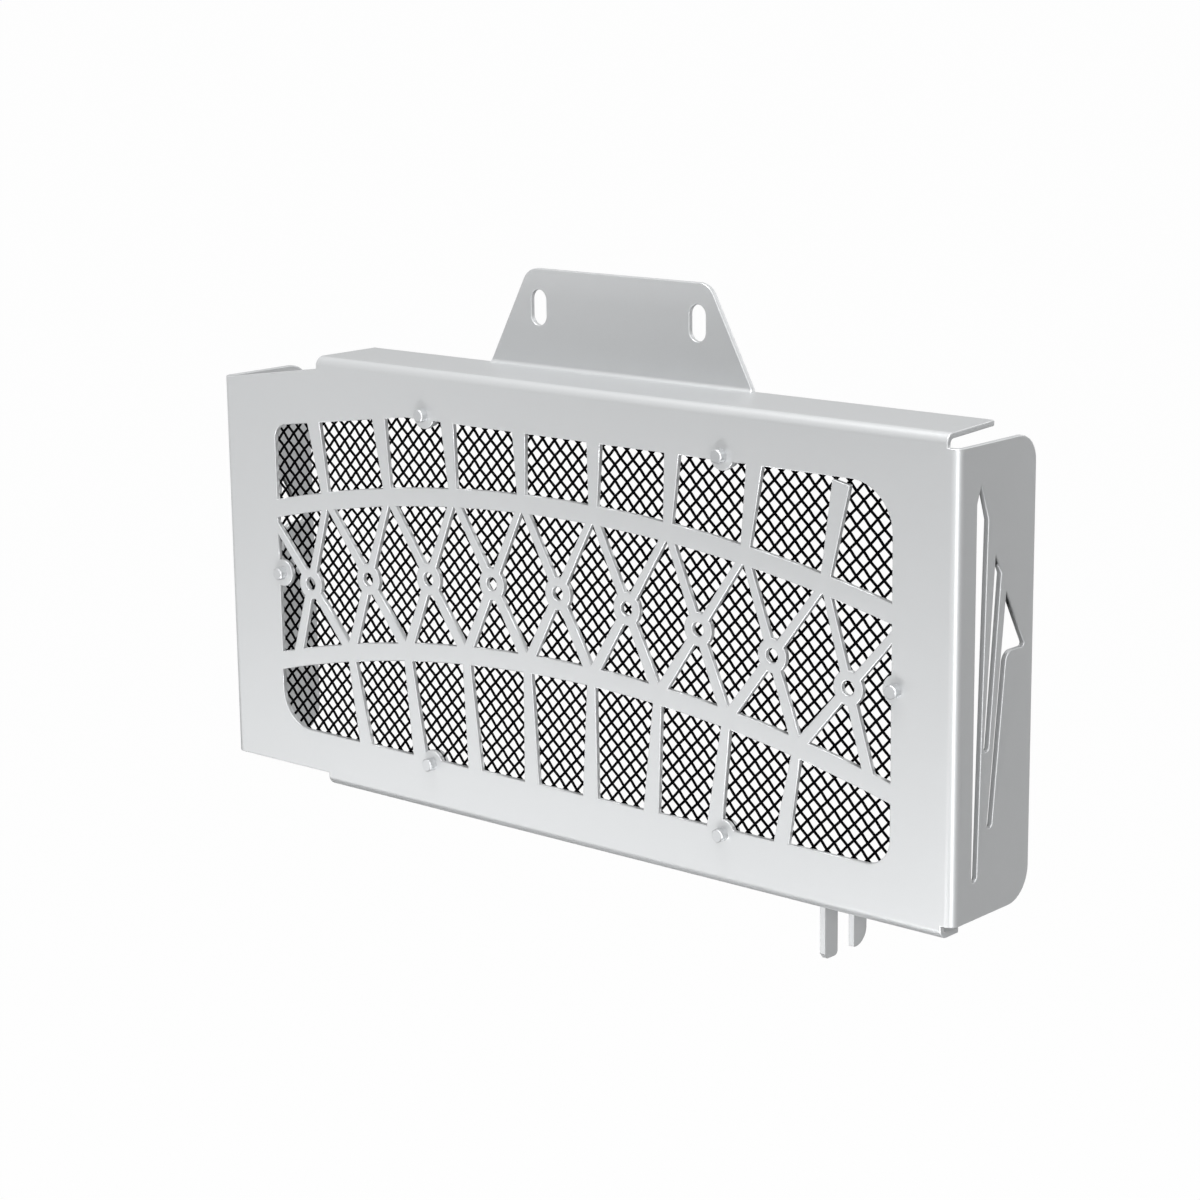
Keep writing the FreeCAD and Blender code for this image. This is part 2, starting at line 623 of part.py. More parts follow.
BARS = (
    ("rising", "rise_low_a", "rise_low_b", "rise_high_a", "rise_high_b"),
    ("falling", "fall_low_a", "fall_low_b", "fall_high_a", "fall_high_b"),
)
for name, low_a, low_b, high_a, high_b in BARS:
    sketch = attach(fretwork, name, "XZ_Plane", east="window_middle", north="rail_hub", turn="cell_first")
    outline(sketch, (
        (low_a, "lower_radius", None), (low_b, "lower_radius", None),
        (high_b, "rail_radius", None), (high_a, "rail_radius", None)))
    seed = pad(fretwork, sketch, "sheet_thick", backwards=True)
    turn_pattern(fretwork, seed, sketch, "cell_sweep", "cell_count")

sketch = attach(fretwork, "boss", "XZ_Plane", east="window_middle", north="rail_hub", turn="cell_first")
disc(sketch, "zero", "cross_radius", "boss_radius")
seed = pad(fretwork, sketch, "sheet_thick", backwards=True)
turn_pattern(fretwork, seed, sketch, "cell_sweep", "cell_count")

sketch = attach(fretwork, "eye", "XZ_Plane", east="window_middle", north="rail_hub", turn="cell_first")
disc(sketch, "zero", "cross_radius", "boss_eye")
seed = pocket(fretwork, sketch, "sheet_thick")
turn_pattern(fretwork, seed, sketch, "cell_sweep", "cell_count")

STRUTS = (
    ("upper_strut", "rail_radius", "strut_high"),
    ("lower_strut", "lower_radius", "strut_low"),
)
for name, root, end in STRUTS:
    sketch = attach(fretwork, name, "XZ_Plane", east="window_middle", north="rail_hub", turn="strut_first")
    outline(sketch, (
        ("waist_a", root, None), ("waist_b", root, None), ("foot_b", end, None), ("foot_a", end, None)))
    seed = pad(fretwork, sketch, "sheet_thick", backwards=True)
    turn_pattern(fretwork, seed, sketch, "strut_sweep", "strut_count")

join = panel.newObject("PartDesign::Boolean", "fretwork_joined")
join.Type = "Fuse"
join.addObjects([fretwork])
panel.Tip = join
doc.recompute()

sketch = attach(panel, "pin_holes", "XZ_Plane")
for name, across, up in PINS:
    disc(sketch, across, up, "hole_radius")
pocket(panel, sketch, "sheet_thick")

# Three staggered slots through both side flanges, the last one with a fin at its head
SLOT_HEADS = {
    "slot_one": (("slot_one_back", "slot_one_shoulder", None), ("slot_one_tip", "slot_one_high", None),
                 ("slot_one_front", "slot_one_knee", None)),
    "slot_two": (("slot_two_back", "slot_two_shoulder", None), ("slot_two_tip", "slot_two_high", None)),
    "slot_three": (("slot_three_waist", "fin_low", "fin_round"), ("fin_tip", "fin_low", "fin_nose"),
                   ("slot_three_tip", "slot_three_high", None)),
}
sketch = attach(panel, "side_slots", "YZ_Plane")
for name, head in SLOT_HEADS.items():
    outline(sketch, (
        (name + "_front", name + "_low", "slot_foot_round"),
        (name + "_foot", name + "_low", "slot_foot_round"), *head))
pocket(panel, sketch, both_ways=True)

# Wire screen, as a wall with gaps and ridges
screen = new_body("mesh_screen")
sketch = attach(screen, "screen_wall", "XZ_Plane", lift="sheet_lift")
outline(sketch, (
    ("screen_left", "screen_low", "round_high_left"), ("screen_right", "screen_low", "round_high_left"),
    ("screen_right", "screen_top", "round_high_left"), ("window_slant_end", "screen_top", None),
    ("screen_left", "screen_slant", "round_high_left")))
pad(screen, sketch, "screen_wall", backwards=True)

sketch = attach(screen, "screen_holes", "XZ_Plane", lift="sheet_lift")
for name, across, up in PINS:
    disc(sketch, across, up, "hole_radius")
pocket(screen, sketch, "screen_wall")


def lattice(first_x, first_z, run_x, count_x, run_z, count_z):
    """Rows of diamond gaps; the sketch origin is the middle of the first gap."""
    gap = attach(screen, "gap", "XZ_Plane", east=first_x, north=first_z, lift="sheet_lift")
    outline(gap, (
        ("half_gap", "zero", None), ("zero", "half_gap", None),
        ("half_gap_left", "zero", None), ("zero", "half_gap_left", None)))
    seed = pocket(screen, gap, "screen_wall")
    grid_pattern(screen, [seed], gap, run_x, count_x, run_z, count_z)


lattice("mesh_first_x", "mesh_first_z", "mesh_run_x", "mesh_columns", "mesh_run_z", "mesh_rows")
lattice("mesh_inner_x", "mesh_inner_z", "mesh_inner_run_x", "mesh_inner_columns",
        "mesh_inner_run_z", "mesh_inner_rows")

# Ridges along the webs on the rear of the wall, one for each way the wires run
RIDGES = (
    ("ridge_foot_a", "ridge_foot_b", "ridge_head_a", "ridge_head_b"),
    ("ridge_foot_c", "ridge_foot_d", "ridge_head_c", "ridge_head_d"),
)
sketch = attach(screen, "ridges", "XZ_Plane", east="mesh_inner_x", north="mesh_first_z", lift="ridge_lift")
for foot_a, foot_b, head_a, head_b in RIDGES:
    outline(sketch, (
        ("ridge_gap", foot_a, None), ("ridge_end", head_a, None),
        ("ridge_end", head_b, None), ("ridge_gap", foot_b, None)))
seed = pad(screen, sketch, "screen_ridge", backwards=True)
grid_pattern(screen, [seed], sketch, "mesh_inner_run_x", "mesh_inner_columns", "mesh_run_z", "mesh_rows")

# Headed pins through the panel and the screen
for name, across, up in PINS:
    pin = new_body("screen_pin_" + name, across, "zero", up)
    sketch = attach(pin, "profile", "YZ_Plane")
    outline(sketch, (
        ("face_front", "zero", None), ("face_front", "face_flat", None),
        ("face_shoulder", "face_radius", None), ("zero", "face_radius", None),
        ("zero", "shank_radius", None), ("washer_back", "shank_radius", None),
        ("washer_back", "tail_radius", None), ("tail_shoulder", "tail_radius", None),
        ("tail_back", "tail_flat", None), ("tail_back", "zero", None)))
    spin = pin.newObject("PartDesign::Revolution", "turned")
    spin.Profile = sketch
    spin.ReferenceAxis = (sketch, ["H_Axis"])
    spin.Angle = 360

    washer = new_body("pin_washer_" + name, across, "washer_start", up)
    sketch = attach(washer, "ring", "XZ_Plane")
    disc(sketch, "zero", "zero", "washer_radius")
    disc(sketch, "zero", "zero", "hole_radius")
    feature = washer.newObject("PartDesign::Pad", "ring_pad")
    feature.Profile = sketch
    feature.Length = read("washer_thick")
    bind(feature, "Length", "washer_thick")
    feature.Reversed = True

# Two prongs that hang from the lower lip
PRONGS = (
    ("prong_long", "prong_long_x", (
        ("prong_front", "zero", None), ("prong_rear", "zero", None),
        ("prong_rear", "prong_long_low", "prong_tip_round"), ("prong_chamfer", "prong_long_low", None),
        ("prong_front", "prong_long_break", None))),
    ("prong_short", "prong_short_x", (
        ("prong_front", "zero", None), ("prong_rear", "zero", None),
        ("prong_rear", "prong_short_low", "prong_heel"), ("prong_front", "prong_short_low", "prong_toe"))),
)
for name, across, corners in PRONGS:
    prong = new_body(name, across)
    sketch = attach(prong, "side", "YZ_Plane")
    outline(sketch, corners)
    feature = prong.newObject("PartDesign::Pad", "side_pad")
    feature.Profile = sketch
    feature.Length = read("prong_thick")
    bind(feature, "Length", "prong_thick")
doc.recompute()

for item in doc.Objects:
    if "Invalid" in item.State or "Error" in item.State:
        raise RuntimeError("%s failed: %s" % (item.Label, item.State))

os.makedirs("parts", exist_ok=True)
for item in doc.Objects:
    if item.TypeId != "PartDesign::Body" or item is fretwork:
        continue
    shape = item.Shape
    if shape.isNull() or not shape.isValid() or len(shape.Solids) != 1:
        raise RuntimeError("%s is not one sound solid" % item.Label)
    shape.exportStep("parts/%s.step" % item.Label)
    box = shape.BoundBox
    print("%-24s %10.1f mm3  %s" % (item.Label, shape.Volume, box))
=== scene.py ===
import bpy
import bmesh
import math
from mathutils import Matrix, Vector


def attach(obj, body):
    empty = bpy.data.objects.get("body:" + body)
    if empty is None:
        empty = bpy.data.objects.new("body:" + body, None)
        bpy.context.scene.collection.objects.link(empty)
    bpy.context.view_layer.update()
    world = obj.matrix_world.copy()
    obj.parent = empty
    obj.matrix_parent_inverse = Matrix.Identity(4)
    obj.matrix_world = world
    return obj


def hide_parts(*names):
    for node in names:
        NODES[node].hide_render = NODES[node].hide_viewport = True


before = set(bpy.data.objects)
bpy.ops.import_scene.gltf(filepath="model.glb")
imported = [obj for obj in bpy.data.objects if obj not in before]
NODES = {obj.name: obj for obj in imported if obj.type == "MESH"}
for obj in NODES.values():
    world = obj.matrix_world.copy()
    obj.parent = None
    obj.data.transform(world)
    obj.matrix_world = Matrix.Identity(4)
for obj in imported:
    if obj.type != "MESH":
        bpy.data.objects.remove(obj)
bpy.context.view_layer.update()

# Drawing zero of the part, seen from the hanging tab, in metres
ZERO = Vector((-0.0049, -0.030, -0.181))
MILLIMETRE = 0.001


# Small helpers

def node_at(tree, kind, x, y, **settings):
    node = tree.nodes.new(kind)
    node.location = (x, y)
    for name, value in settings.items():
        setattr(node, name, value)
    return node


def empty_tree(owner):
    """The emptied node tree of a new material or world."""
    owner.use_nodes = True
    owner.node_tree.nodes.clear()
    return owner.node_tree


def new_object(name, data):
    thing = bpy.data.objects.new(name, data)
    bpy.context.scene.collection.objects.link(thing)
    return thing


def make_plain(thing, name):
    """Turns what an object's modifiers make into its own plain mesh."""
    raw = thing.data
    depsgraph = bpy.context.evaluated_depsgraph_get()
    mesh = bpy.data.meshes.new_from_object(thing.evaluated_get(depsgraph))
    thing.modifiers.clear()
    thing.data = mesh
    bpy.data.meshes.remove(raw)
    mesh.name = name
    return mesh


def facing(at, aim):
    """The turn that points an object's -Z axis from one place to another."""
    return (Vector(aim) - Vector(at)).to_track_quat("-Z", "Y")


# Materials

GRAIN_DETAIL = 3.0
GRAIN_ROUGHNESS = 0.6
GRAIN_DEPTH = 0.05 * MILLIMETRE


def metal(name, light, dark, roughness, grain, bump, metallic, shine=0.5):
    """A satin finish: two close tones and a fine bump follow one fine grain."""
    made = bpy.data.materials.new(name)
    made.diffuse_color = (*light, 1.0)
    tree = empty_tree(made)
    place = node_at(tree, "ShaderNodeTexCoord", -900, 0)
    noise = node_at(tree, "ShaderNodeTexNoise", -700, 0)
    noise.inputs["Scale"].default_value = grain
    noise.inputs["Detail"].default_value = GRAIN_DETAIL
    noise.inputs["Roughness"].default_value = GRAIN_ROUGHNESS
    tone = node_at(tree, "ShaderNodeMix", -450, 150, data_type="RGBA")
    tone.inputs["A"].default_value = (*dark, 1.0)
    tone.inputs["B"].default_value = (*light, 1.0)
    relief = node_at(tree, "ShaderNodeBump", -450, -200)
    relief.inputs["Strength"].default_value = bump
    relief.inputs["Distance"].default_value = GRAIN_DEPTH
    shader = node_at(tree, "ShaderNodeBsdfPrincipled", -200, 0)
    shader.inputs["Metallic"].default_value = metallic
    shader.inputs["Roughness"].default_value = roughness
    shader.inputs["Specular IOR Level"].default_value = shine
    out = node_at(tree, "ShaderNodeOutputMaterial", 100, 0)
    link = tree.links.new
    link(place.outputs["Object"], noise.inputs["Vector"])
    link(noise.outputs["Fac"], tone.inputs["Factor"])
    link(noise.outputs["Fac"], relief.inputs["Height"])
    link(tone.outputs["Result"], shader.inputs["Base Color"])
    link(relief.outputs["Normal"], shader.inputs["Normal"])
    link(shader.outputs["BSDF"], out.inputs["Surface"])
    return made


SATIN_STEEL = metal("satin_steel", light=(0.565, 0.575, 0.582), dark=(0.525, 0.535, 0.542),
                    roughness=0.38, grain=2600.0, bump=0.2, metallic=0.5)
BRIGHT_STEEL = metal("bright_steel", light=(0.50, 0.51, 0.52), dark=(0.47, 0.48, 0.49),
                     roughness=0.34, grain=1500.0, bump=0.1, metallic=0.6)
BLACK_WIRE = metal("black_wire", light=(0.0025, 0.0025, 0.003), dark=(0.0015, 0.0015, 0.002),
                   roughness=0.6, grain=3000.0, bump=0.05, metallic=0.0, shine=0.0)


def finish_with(thing, material):
    thing.data.materials.clear()
    thing.data.materials.append(material)


for node_name, node in NODES.items():
    if node_name.startswith("mesh_screen"):
        finish_with(node, BLACK_WIRE)
    elif node_name.startswith(("screen_pin", "pin_washer")):
        finish_with(node, BRIGHT_STEEL)
    else:
        finish_with(node, SATIN_STEEL)


def settle(thing, slot, *nodes):
    """Hangs a finished piece on the part and hides the nodes it stands for. The slot argument is not
    used.
    """
    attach(thing, "root")
    if nodes:
        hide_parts(*nodes)


# The folded sheet, with its outward cut edges rounded

SAME_POINT = 1e-6
FLAT = math.radians(0.4)
SHARP = math.radians(40)
EDGE_ROUND = 0.4 * MILLIMETRE
EDGE_SEGMENTS = 2
FLAT_FACE_WEIGHT = 100


def broken_edges(source_name, piece_name, width, segments):
    """A merged copy of a solid with flat faces joined up and its outward edges bevelled."""
    mesh = NODES[source_name].data.copy()
    work = bmesh.new()
    work.from_mesh(mesh)
    bmesh.ops.remove_doubles(work, verts=work.verts, dist=SAME_POINT)
    bmesh.ops.dissolve_limit(work, angle_limit=FLAT, verts=work.verts, edges=work.edges,
                             use_dissolve_boundaries=False)
    weight = work.edges.layers.float.new("bevel_weight_edge")
    for edge in work.edges:
        edge[weight] = float(edge.calc_face_angle_signed(0.0) > SHARP)
    work.to_mesh(mesh)
    work.free()
    thing = new_object(piece_name, mesh)
    # Without the clamp and the slide, very short edges neither stop the bevel nor fold it over
    bevel = thing.modifiers.new("edge", "BEVEL")
    bevel.width = width
    bevel.segments = segments
    bevel.limit_method = "WEIGHT"
    bevel.use_clamp_overlap = False
    bevel.loop_slide = False
    weld = thing.modifiers.new("weld", "WELD")
    weld.merge_threshold = SAME_POINT
    split = thing.modifiers.new("split", "TRIANGULATE")
    split.keep_custom_normals = True
    even = thing.modifiers.new("even", "WEIGHTED_NORMAL")
    even.mode = "FACE_AREA_WITH_ANGLE"
    even.weight = FLAT_FACE_WEIGHT
    mesh.shade_smooth()
    make_plain(thing, piece_name)
    return thing


PANEL = broken_edges("guard_panel", "folded_sheet", EDGE_ROUND, EDGE_SEGMENTS)
finish_with(PANEL, SATIN_STEEL)
settle(PANEL, "satin_steel", "guard_panel")


# The woven screen. Its sizes are in millimetres from the drawing zero

WEAVE = {
    "Left": -147.1,
    "Right": 150.1,
    "Bottom": 9.9,
    "Top": 148.0,
    "Slant Drop": 9.6,
    "Slant End": -70.0,
    "Middle": 2.7,
    "Pitch": 3.8,
    "Wire Radius": 0.46,
    "Crimp": 0.16,
}
STEPS_PER_GAP = 4
WIRE_SIDES = 6
DIAGONAL = math.sqrt(0.5)
FAR = 10000.0
NEARLY_ONE = 0.999
WIRE_NUMBER = "wire"
OUTSIDE = "lost"


class Maths:
    """Short hand for rows of Math nodes in one tree."""

    ROW = 12
    ACROSS = 160
    DOWN = 200

    def __init__(self, tree):
        self.tree = tree
        self.count = 0

    def __call__(self, operation, *values):
        node = node_at(self.tree, "ShaderNodeMath", -1200 + self.ACROSS * (self.count % self.ROW),
                       -self.DOWN * (self.count // self.ROW), operation=operation)
        self.count += 1
        for socket, value in zip(node.inputs, values):
            if isinstance(value, (int, float)):
                socket.default_value = value
            else:
                self.tree.links.new(value, socket)
        return node.outputs[0]


def stored_number(tree, name, geometry, value):
    """Geometry whose points carry one number under a name."""
    keep = tree.nodes.new("GeometryNodeStoreNamedAttribute")
    keep.data_type = "FLOAT"
    keep.domain = "POINT"
    keep.inputs["Name"].default_value = name
    tree.links.new(geometry, keep.inputs["Geometry"])
    tree.links.new(value, keep.inputs["Value"])
    return keep.outputs[0]


def named_number(tree, name):
    read = tree.nodes.new("GeometryNodeInputNamedAttribute")
    read.data_type = "FLOAT"
    read.inputs["Name"].default_value = name
    return read.outputs[0]


def straight_strands(tree, given, do):
    """One numbered straight curve for each wire, numbered from the middle one."""
    link = tree.links.new
    rows = tree.nodes.new("GeometryNodeMeshLine")
    link(given["Wires"], rows.inputs["Count"])
    rows.inputs["Offset"].default_value = (0, 0, 0)
    points = tree.nodes.new("GeometryNodeMeshToPoints")
    link(rows.outputs[0], points.inputs["Mesh"])
    index = tree.nodes.new("GeometryNodeInputIndex").outputs[0]
    half_wires = do("FLOOR", do("DIVIDE", given["Wires"], 2.0))
    numbered = stored_number(tree, WIRE_NUMBER, points.outputs[0], do("SUBTRACT", index, half_wires))
    strand = tree.nodes.new("GeometryNodeCurvePrimitiveLine")
    strand.inputs["End"].default_value = (1, 0, 0)
    fine = tree.nodes.new("GeometryNodeResampleCurve")
    fine.mode = "COUNT"
    link(strand.outputs[0], fine.inputs["Curve"])
    link(given["Steps"], fine.inputs["Count"])
    rack = tree.nodes.new("GeometryNodeInstanceOnPoints")
    link(numbered, rack.inputs["Points"])
    link(fine.outputs[0], rack.inputs["Instance"])
    loose = tree.nodes.new("GeometryNodeRealizeInstances")
    link(rack.outputs[0], loose.inputs[0])
    return loose.outputs[0]


def weave_tree():
    """Straight rows of crimped wire at 45 degrees, cut to the screen's outline."""
    tree = bpy.data.node_groups.new("woven_wires", "GeometryNodeTree")
    face = tree.interface
    face.new_socket("Geometry", in_out="OUTPUT", socket_type="NodeSocketGeometry")
    for label in (*WEAVE, "Rise"):
        face.new_socket(label, in_out="INPUT", socket_type="NodeSocketFloat")
    for label in ("Wires", "Steps"):
        face.new_socket(label, in_out="INPUT", socket_type="NodeSocketInt")
    face.new_socket("Finish", in_out="INPUT", socket_type="NodeSocketMaterial")
    given = tree.nodes.new("NodeGroupInput").outputs
    out = tree.nodes.new("NodeGroupOutput")
    link = tree.links.new
    do = Maths(tree)
    strands = straight_strands(tree, given, do)

    # How far along its wire each point lies, and where its wire crosses the screen's middle
    along = tree.nodes.new("GeometryNodeSplineParameter")
    wire = named_number(tree, WIRE_NUMBER)
    pitch = given["Pitch"]
    rise = given["Rise"]
    step = do("DIVIDE", pitch, float(STEPS_PER_GAP))
    half_steps = do("FLOOR", do("DIVIDE", given["Steps"], 2.0))
    travel = do("MULTIPLY", do("SUBTRACT", along.outputs["Index"], half_steps), step)
    aside = do("MULTIPLY", wire, pitch)
    middle_x = do("MULTIPLY", do("ADD", given["Left"], given["Right"]), 0.5)
    middle_z = do("MULTIPLY", do("ADD", given["Bottom"], given["Top"]), 0.5)
    run_x = DIAGONAL
    run_z = do("MULTIPLY", rise, DIAGONAL)
    base_x = do("ADD", middle_x, do("MULTIPLY", aside, do("MULTIPLY", run_z, -1.0)))
    base_z = do("ADD", middle_z, do("MULTIPLY", aside, DIAGONAL))

    # The stretch of each wire that lies inside the four sides
    low_x = do("DIVIDE", do("SUBTRACT", given["Left"], base_x), run_x)
    high_x = do("DIVIDE", do("SUBTRACT", given["Right"], base_x), run_x)
    end_a = do("DIVIDE", do("SUBTRACT", given["Bottom"], base_z), run_z)
    end_b = do("DIVIDE", do("SUBTRACT", given["Top"], base_z), run_z)
    low = do("MAXIMUM", low_x, do("MINIMUM", end_a, end_b))
    high = do("MINIMUM", high_x, do("MAXIMUM", end_a, end_b))

    # The slanted corner: wires end under a line from the left side to the slant's end
    lean = do("DIVIDE", given["Slant Drop"], do("SUBTRACT", given["Slant End"], given["Left"]))
    to_slant_end = do("SUBTRACT", given["Slant End"], base_x)
    room = do("SUBTRACT", given["Top"], do("ADD", base_z, do("MULTIPLY", lean, to_slant_end)))
    slope = do("SUBTRACT", run_z, do("MULTIPLY", lean, run_x))
    corner = do("DIVIDE", room, slope)
    rising = do("GREATER_THAN", slope, 0.0)
    falling = do("SUBTRACT", 1.0, rising)
    high = do("MINIMUM", high, do("ADD", corner, do("MULTIPLY", falling, FAR)))
    low = do("MAXIMUM", low, do("SUBTRACT", corner, do("MULTIPLY", rising, FAR)))

    # Points past an end move back to it, and those a whole step past it are cut away
    held = do("MINIMUM", do("MAXIMUM", travel, low), high)
    moved = do("ABSOLUTE", do("SUBTRACT", travel, held))
    lost = do("GREATER_THAN", moved, do("MULTIPLY", step, NEARLY_ONE))
    short = do("LESS_THAN", do("SUBTRACT", high, low), step)

    # The crimp: wires pass over and under each other, half a wave to each pitch
    turn = do("MULTIPLY", do("ADD", do("DIVIDE", held, pitch), wire), math.pi)
    depth = do("MULTIPLY", do("MULTIPLY", do("COSINE", turn), given["Crimp"]), rise)
    spot = tree.nodes.new("ShaderNodeCombineXYZ")
    places = (
        (do("ADD", base_x, do("MULTIPLY", held, run_x)), ZERO.x),
        (do("ADD", given["Middle"], depth), ZERO.y),
        (do("ADD", base_z, do("MULTIPLY", held, run_z)), ZERO.z),
    )
    for socket, (value, start) in zip(spot.inputs, places):
        link(do("ADD", do("MULTIPLY", value, MILLIMETRE), start), socket)

    # What to cut is stored before the points move, so that moving them changes nothing in it
    marked = stored_number(tree, OUTSIDE, strands, do("MAXIMUM", lost, short))
    shaped = tree.nodes.new("GeometryNodeSetPosition")
    link(marked, shaped.inputs["Geometry"])
    link(spot.outputs[0], shaped.inputs["Position"])
    cut = tree.nodes.new("GeometryNodeDeleteGeometry")
    cut.domain = "POINT"
    link(shaped.outputs[0], cut.inputs["Geometry"])
    link(do("GREATER_THAN", named_number(tree, OUTSIDE), 0.5), cut.inputs["Selection"])

    ring = tree.nodes.new("GeometryNodeCurvePrimitiveCircle")
    ring.inputs["Resolution"].default_value = WIRE_SIDES
    link(do("MULTIPLY", given["Wire Radius"], MILLIMETRE), ring.inputs["Radius"])
    tube = tree.nodes.new("GeometryNodeCurveToMesh")
    link(cut.outputs[0], tube.inputs["Curve"])
    link(ring.outputs[0], tube.inputs["Profile Curve"])
    tube.inputs["Fill Caps"].default_value = True
    whole = tree.nodes.new("GeometryNodeRealizeInstances")
    link(tube.outputs[0], whole.inputs[0])
    dressed = tree.nodes.new("GeometryNodeSetMaterial")
    link(whole.outputs[0], dressed.inputs["Geometry"])
    link(given["Finish"], dressed.inputs["Material"])
    link(dressed.outputs[0], out.inputs[0])
    return tree


def run_tree(name, tree, values):
    """A plain mesh made by one node tree with the given inputs."""
    thing = new_object(name, bpy.data.meshes.new(name + "_seed"))
    modifier = thing.modifiers.new("make", "NODES")
    modifier.node_group = tree
    for item in tree.interface.items_tree:
        if item.in_out == "INPUT" and item.name in values:
            modifier[item.identifier] = values[item.name]
    bpy.context.view_layer.update()
    mesh = make_plain(thing, name)
    for label in (WIRE_NUMBER, OUTSIDE):
        if label in mesh.attributes:
            mesh.attributes.remove(mesh.attributes[label])
    mesh.shade_smooth()
    return thing


WEAVE_TREE = weave_tree()


def screen_piece(name, rise):
    """One layer of wires, all rising or all falling to the right."""
    wide = WEAVE["Right"] - WEAVE["Left"]
    high = WEAVE["Top"] - WEAVE["Bottom"]
    reach = (wide + high) * DIAGONAL / 2
    wires = 2 * math.ceil(reach / WEAVE["Pitch"]) + 1
    steps = 2 * math.ceil(reach / WEAVE["Pitch"] * STEPS_PER_GAP) + 1
    values = dict(WEAVE, Rise=rise, Wires=wires, Steps=steps, Finish=BLACK_WIRE)
    settle(run_tree(name, WEAVE_TREE, values), "black_wire", "mesh_screen")


screen_piece("wires_rising", 1.0)
screen_piece("wires_falling", -1.0)


# Camera, as the photograph was taken

CAMERA_AT = Vector((0.65693, -0.75553, 0.12761))
CAMERA_TARGET = Vector((0.0159, -0.030, -0.09175))
CAMERA_ROLL = math.radians(-0.7056)
CAMERA_LENS = 88.81
CAMERA_SENSOR = 36.0
CAMERA_NEAR = 0.05
CAMERA_FAR = 500.0


def place_camera():
    data = bpy.data.cameras.new("camera")
    data.lens = CAMERA_LENS
    data.sensor_width = CAMERA_SENSOR
    data.clip_start = CAMERA_NEAR
    data.clip_end = CAMERA_FAR
    camera = new_object("camera", data)
    away = (CAMERA_AT - CAMERA_TARGET).normalized()
    right = Vector((0, 0, 1)).cross(away).normalized()
    up = away.cross(right)
    turned_right = right * math.cos(CAMERA_ROLL) + up * math.sin(CAMERA_ROLL)
    turned_up = up * math.cos(CAMERA_ROLL) - right * math.sin(CAMERA_ROLL)
    turn = Matrix((turned_right, turned_up, away)).transposed()
    camera.matrix_world = Matrix.Translation(CAMERA_AT) @ turn.to_4x4()
    bpy.context.scene.camera = camera


place_camera()


# White studio: lamps, cards, floor and surroundings, in metres and watts

def lamp(name, at, aim, width, height, watts):
    data = bpy.data.lights.new(name, "AREA")
    data.shape = "RECTANGLE"
    data.size = width
    data.size_y = height
    data.energy = watts
    thing = new_object(name, data)
    thing.location = at
    thing.rotation_mode = "QUATERNION"
    thing.rotation_quaternion = facing(at, aim)


MIDDLE = (0.0, -0.02, -0.09)
LAMPS = (
    # Name, place, width, height and power
    ("low_left", (-0.76, -0.65, -0.56), 0.5, 0.4, 0.70),
    ("near_right", (0.05, -0.45, -0.55), 0.3, 0.2, 2.4),
    ("strip", (1.27, -0.99, -0.42), 0.36, 1.0, 7.4),
    ("right", (1.10, -1.20, 0.95), 1.0, 1.0, 12.5),
    ("overhead", (0.0, -0.35, 1.65), 1.0, 0.9, 32.0),
    ("rear", (0.60, 1.50, 0.50), 1.0, 1.0, 3.5),
)
for lamp_name, lamp_at, lamp_width, lamp_height, power in LAMPS:
    lamp(lamp_name, lamp_at, MIDDLE, lamp_width, lamp_height, power)


def reflector(name, at, aim, width, height, tone):
    """A grey card that only the metal's reflections see, out of the camera's view."""
    turn = facing(at, aim)
    corners = [Vector(at) + turn @ Vector((a * width / 2, b * height / 2, 0.0))
               for a, b in ((-1, -1), (1, -1), (1, 1), (-1, 1))]
    mesh = bpy.data.meshes.new(name)
    mesh.from_pydata([tuple(corner) for corner in corners], [], [(0, 1, 2, 3)])
    card = new_object(name, mesh)
    paint = bpy.data.materials.new(name)
    tree = empty_tree(paint)
    glow = node_at(tree, "ShaderNodeEmission", 0, 0)
    glow.inputs["Color"].default_value = (tone, tone, tone, 1.0)
    out = node_at(tree, "ShaderNodeOutputMaterial", 200, 0)
    tree.links.new(glow.outputs[0], out.inputs["Surface"])
    mesh.materials.append(paint)
    card.visible_camera = False
    card.visible_diffuse = False
    card.visible_shadow = False
    card.visible_transmission = False


CARDS = (
    # Name, place, where it faces, width, height and grey tone
    ("side_card", (0.641, 0.148, -0.19), (0.306, -0.223, -0.19), 0.8, 0.9, 0.43),
    ("back_card", (-0.79, 0.85, 0.17), (0.0, 0.0, 0.0), 1.1, 0.7, 0.40),
    ("low_card", (-0.35, 0.15, -0.36), (-0.35, 0.15, 0.0), 1.1, 0.7, 0.04),
    ("front_card", (-0.14, -0.59, -0.06), (0.16, -0.03, -0.06), 0.55, 0.36, 0.49),
)
for card in CARDS:
    reflector(*card)


def seen_directly(tree):
    """One for camera, glossy and transmission rays, and nought for the rest."""
    path = node_at(tree, "ShaderNodeLightPath", -900, 300)
    first = node_at(tree, "ShaderNodeMath", -650, 300, operation="MAXIMUM")
    second = node_at(tree, "ShaderNodeMath", -450, 300, operation="MAXIMUM")
    tree.links.new(path.outputs["Is Camera Ray"], first.inputs[0])
    tree.links.new(path.outputs["Is Glossy Ray"], first.inputs[1])
    tree.links.new(first.outputs[0], second.inputs[0])
    tree.links.new(path.outputs["Is Transmission Ray"], second.inputs[1])
    return second.outputs[0]


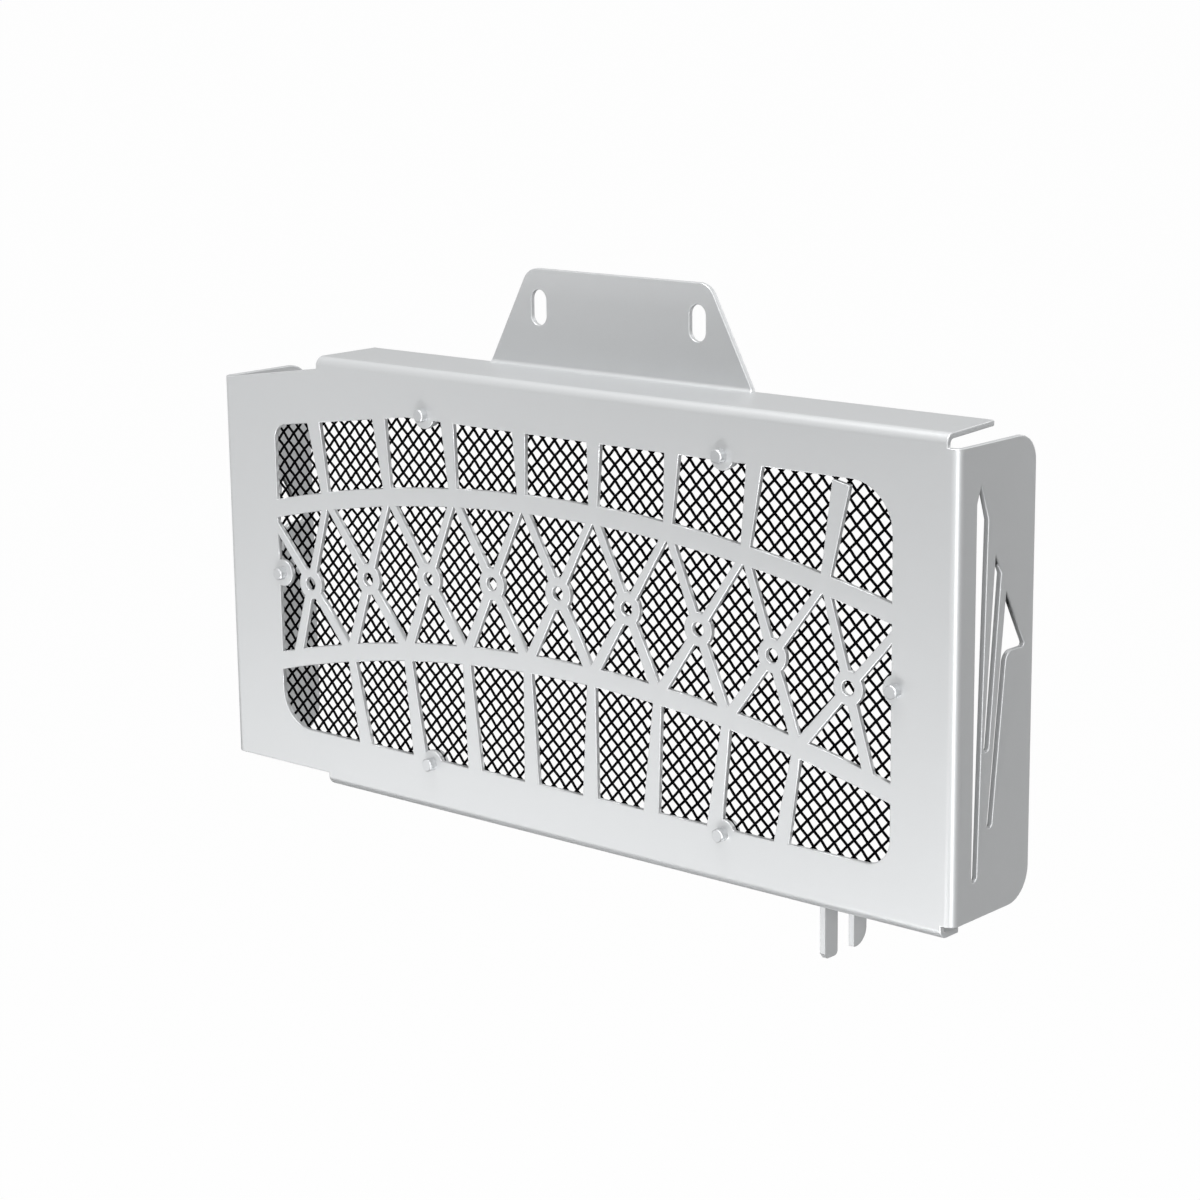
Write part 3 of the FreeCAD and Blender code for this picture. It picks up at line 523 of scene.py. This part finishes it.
def blend_into(tree, share, plain, bright, out):
    """Shows the bright shader by the given share, and the plain one for the rest."""
    blend = node_at(tree, "ShaderNodeMixShader", 50, 0)
    tree.links.new(share, blend.inputs["Fac"])
    tree.links.new(plain.outputs[0], blend.inputs[1])
    tree.links.new(bright.outputs[0], blend.inputs[2])
    tree.links.new(blend.outputs[0], out.inputs["Surface"])


WHITE = (1.0, 1.0, 1.0, 1.0)
FLOOR_HEIGHT = -1.0
FLOOR_REACH = 150.0
FLOOR_PAINT = (0.9, 0.9, 0.9, 1.0)
FLOOR_GLOW_SHARE = 0.985
SOFT_LIGHT = 0.15

floor_mesh = bpy.data.meshes.new("floor")
floor_mesh.from_pydata([(a * FLOOR_REACH, b * FLOOR_REACH, FLOOR_HEIGHT)
                        for a, b in ((-1, -1), (1, -1), (1, 1), (-1, 1))], [], [(0, 1, 2, 3)])
floor = new_object("floor", floor_mesh)


def paint_floor():
    """Pale paint that shines white to the camera and to reflections."""
    paint = bpy.data.materials.new("studio_floor")
    tree = empty_tree(paint)
    matt = node_at(tree, "ShaderNodeBsdfDiffuse", -200, 0)
    matt.inputs["Color"].default_value = FLOOR_PAINT
    glow = node_at(tree, "ShaderNodeEmission", -200, -200)
    glow.inputs["Strength"].default_value = 1.0
    share = node_at(tree, "ShaderNodeMath", -200, 300, operation="MULTIPLY")
    share.inputs[1].default_value = FLOOR_GLOW_SHARE
    tree.links.new(seen_directly(tree), share.inputs[0])
    blend_into(tree, share.outputs[0], matt, glow, node_at(tree, "ShaderNodeOutputMaterial", 300, 0))
    floor_mesh.materials.append(paint)


paint_floor()


def surround():
    """White where it is seen or reflected, and a soft light for the rest."""
    world = bpy.data.worlds.new("studio")
    tree = empty_tree(world)
    bpy.context.scene.world = world
    soft = node_at(tree, "ShaderNodeBackground", -200, 0)
    soft.inputs["Color"].default_value = WHITE
    soft.inputs["Strength"].default_value = SOFT_LIGHT
    white = node_at(tree, "ShaderNodeBackground", -200, -200)
    white.inputs["Color"].default_value = WHITE
    white.inputs["Strength"].default_value = 1.0
    blend_into(tree, seen_directly(tree), soft, white, node_at(tree, "ShaderNodeOutputWorld", 300, 0))


surround()

bpy.context.scene.view_settings.view_transform = "Standard"
